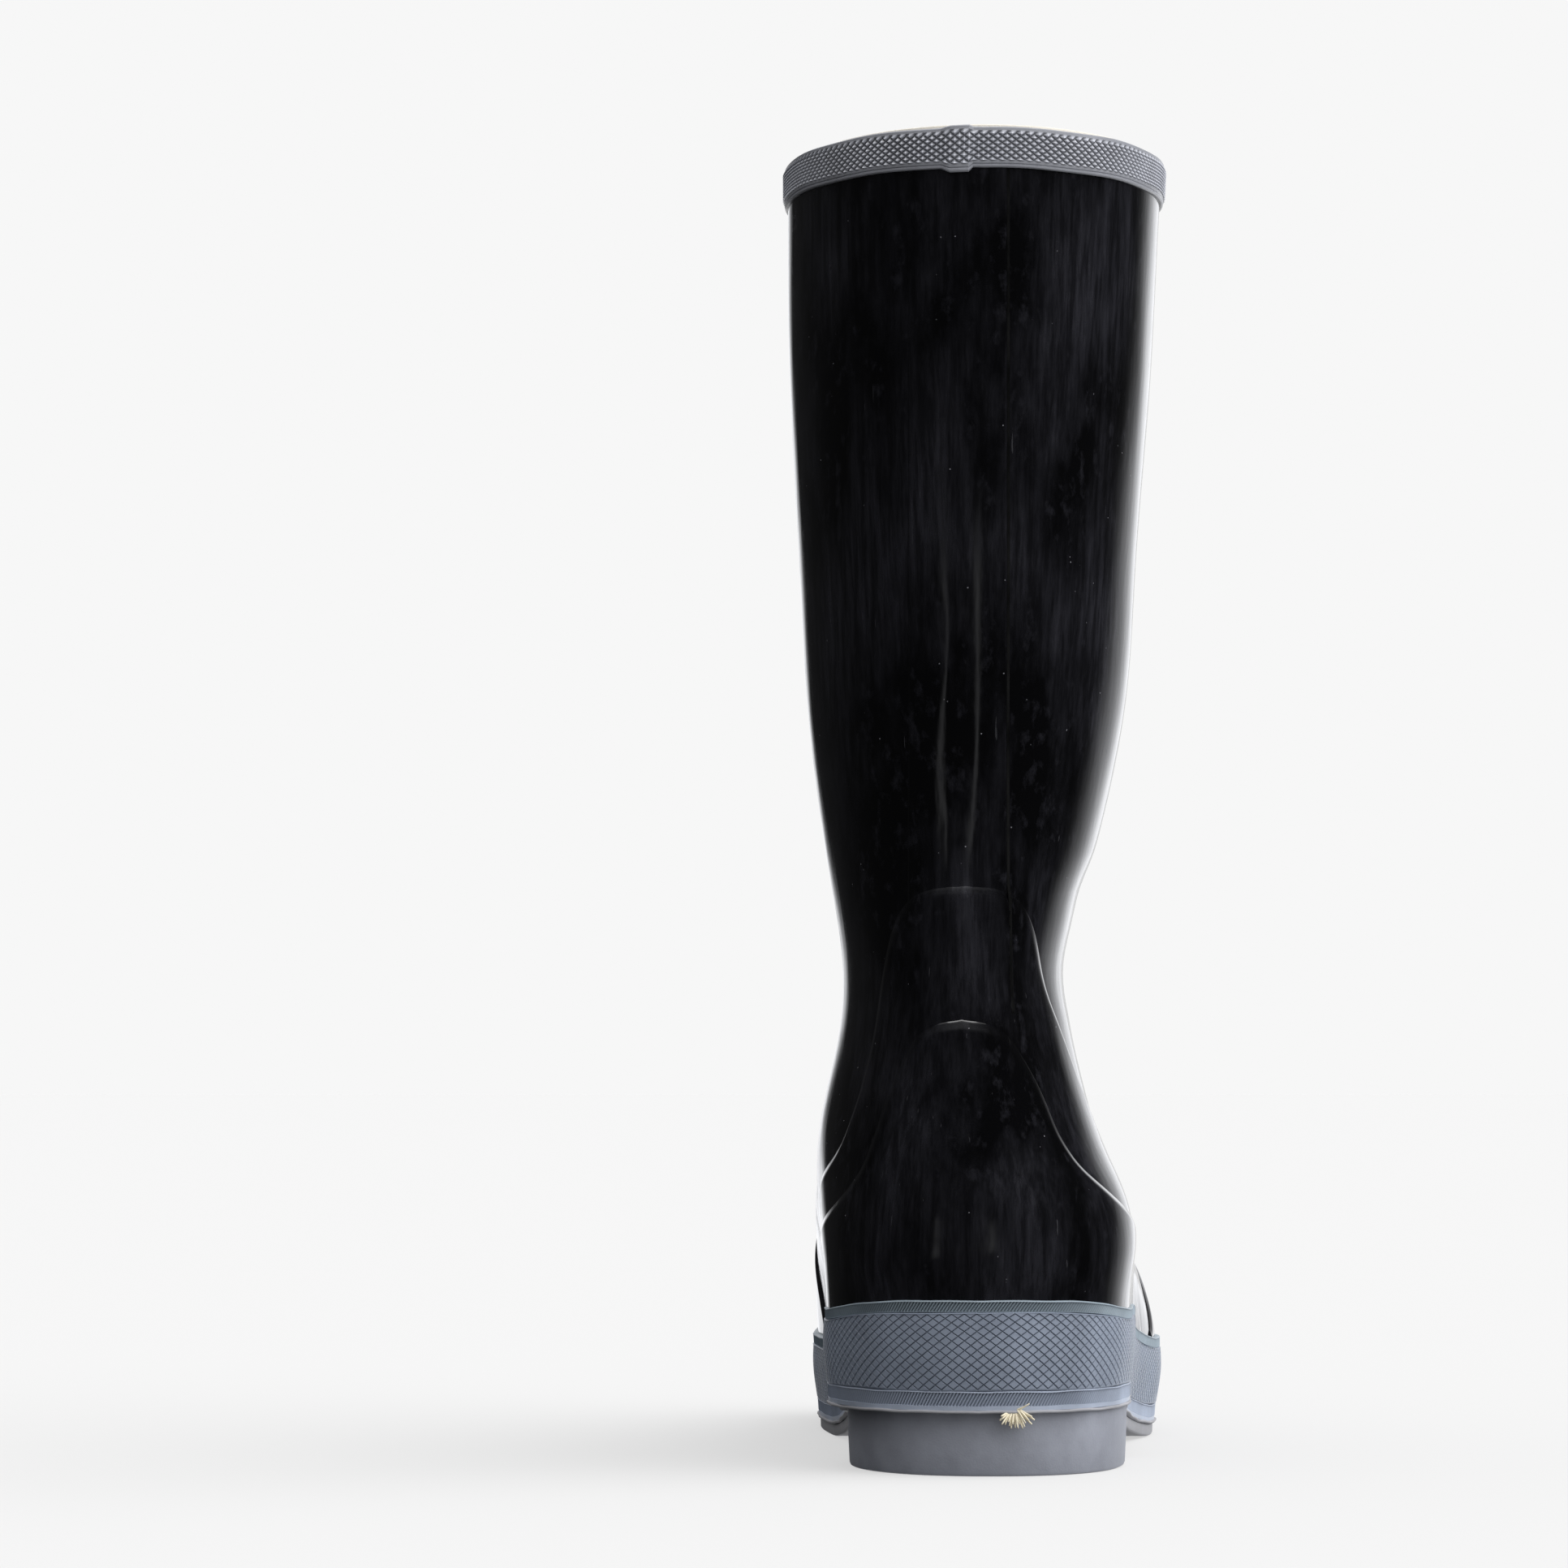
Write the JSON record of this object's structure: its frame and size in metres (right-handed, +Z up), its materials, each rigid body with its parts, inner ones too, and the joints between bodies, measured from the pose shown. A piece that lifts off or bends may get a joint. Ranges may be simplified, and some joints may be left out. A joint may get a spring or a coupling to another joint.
{
  "type": "rubber rain boot",
  "caption": "Knee-low black rubber rain boot, right foot, with grey textured foxing, rim binding, block heel, fabric lining and loose footbed.",
  "frame": {"origin": "centre of the bounding box's base, on the floor under the boot", "axes": "+Z up the leg, +Y towards the toe, +X towards the outer (lateral) side of this right boot"},
  "size_m": [0.1188, 0.3096, 0.3804],
  "materials": {
    "black_rubber": "glossy vulcanised rubber with a bloomed, smudged lacquer",
    "grey_foxing": "satin grey rubber, embossed with a fine diamond lattice",
    "grey_strip": "satin grey rubber with fine diagonal ribs or knurls",
    "grey_sole": "matte grey rubber",
    "lining_knit": "brushed cotton knit, cream",
    "canvas": "rubberised cotton canvas",
    "board": "pressed fibre board",
    "filler": "porous brown filler sheet",
    "steel": "spring steel strip",
    "footbed_felt": "grey felt over soft foam",
    "cotton_yarn": "frayed cream cotton yarn"
  },
  "bodies": {
    "root": {"outsole": "grey_sole", "heel_block": "grey_sole", "sole_ply": "grey_sole", "shank": "steel", "sole_filler": "filler", "insole_board": "board", "footbed": "footbed_felt", "sock_lining": "lining_knit", "canvas_ply": "canvas", "heel_stiffener": "board", "toe_puff": "board", "leg_cover": "black_rubber", "vamp_overlay": "black_rubber", "toe_cap": "black_rubber", "back_stay": "black_rubber", "ankle_counter": "black_rubber", "heel_counter": "black_rubber", "foxing_band": "grey_foxing", "foxing_top_strip": "grey_strip", "foxing_foot_strip": "grey_strip", "top_binding": "grey_strip", "yarn_tuft": "cotton_yarn"}
  },
  "joints": []
}
